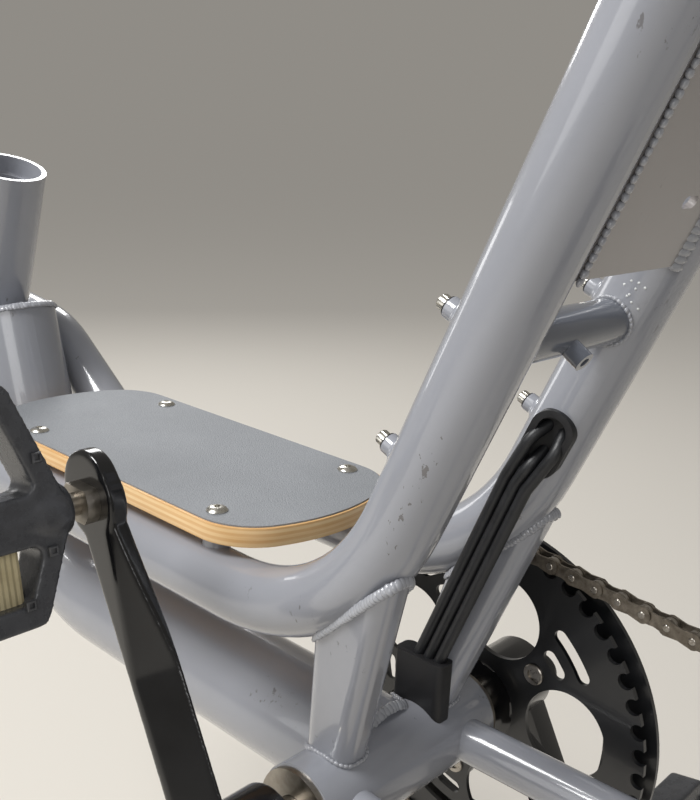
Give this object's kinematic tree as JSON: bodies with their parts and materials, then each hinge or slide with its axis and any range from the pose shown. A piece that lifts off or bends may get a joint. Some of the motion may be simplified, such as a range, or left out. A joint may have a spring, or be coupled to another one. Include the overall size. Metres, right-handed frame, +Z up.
{
  "type": "electric bicycle frame unit",
  "caption": "Step-through electric bicycle frame unit: twin-tube frame with a wooden foot deck, turning crankset and pedals, chain and rear hub motor.",
  "frame": {"origin": "middle of the head tube, on the steering axis", "axes": "+X to the front, +Y to the rider's left, +Z up"},
  "size_m": [0.9749, 0.444, 0.6641],
  "materials": {
    "frame_paint": "gloss",
    "black_paint": "gloss",
    "steel": "satin",
    "chain_steel": "oiled",
    "plywood": "satin",
    "grip_grit": "matte",
    "black_rubber": "matte",
    "pedal_plastic": "matte",
    "motor_case": "satin"
  },
  "bodies": {
    "frame": {"main_tube_left": "frame_paint", "main_tube_right": "frame_paint", "head_tube": "frame_paint", "head_lugs": "frame_paint", "lower_tube": "frame_paint", "strut_left": "frame_paint", "strut_right": "frame_paint", "crank_axle_shell": "frame_paint", "cross_tube": "frame_paint", "gusset_plate": "frame_paint", "seat_sleeve": "frame_paint", "chainstay_left": "frame_paint", "chainstay_right": "frame_paint", "seatstay_left": "frame_paint", "seatstay_right": "frame_paint", "dropout_left": "frame_paint", "dropout_right": "frame_paint", "bearing_cup_left": "steel", "bearing_cup_right": "steel", "seat_clamp": "black_paint", "deck_board": "plywood", "grip_sheet": "grip_grit", "cable_motor": "black_rubber", "cable_brake": "black_rubber", "cable_sensor": "black_rubber", "cable_port": "black_rubber", "cable_boot": "black_rubber", "chain": "chain_steel", "rear_axle": "steel", "axle_nut_left": "steel", "axle_nut_right": "steel"},
    "crankset": {"spindle": "steel", "crank_left": "black_paint", "crank_right": "black_paint", "chainring": "black_paint", "chain_guard": "black_paint", "pedal_axle_left": "steel", "pedal_axle_right": "steel"},
    "pedal_left": {"pedal_left": "pedal_plastic"},
    "pedal_right": {"pedal_right": "pedal_plastic"},
    "rear_hub": {"hub_motor": "motor_case", "rear_sprocket": "chain_steel"}
  },
  "joints": [
    {"name": "crank_spin", "type": "hinge", "parent": "frame", "child": "crankset", "pos_m": [-0.37, 0, -0.19], "axis": [0, 1, 0], "continuous": true},
    {"name": "pedal_left_spin", "type": "hinge", "parent": "crankset", "child": "pedal_left", "pos_m": [-0.29316, 0.175, -0.04966], "axis": [0, 1, 0], "continuous": true},
    {"name": "pedal_right_spin", "type": "hinge", "parent": "crankset", "child": "pedal_right", "pos_m": [-0.44684, -0.175, -0.33034], "axis": [0, 1, 0], "continuous": true},
    {"name": "hub_spin", "type": "hinge", "parent": "frame", "child": "rear_hub", "pos_m": [-0.81172, 0, -0.2], "axis": [0, 1, 0], "continuous": true}
  ]
}
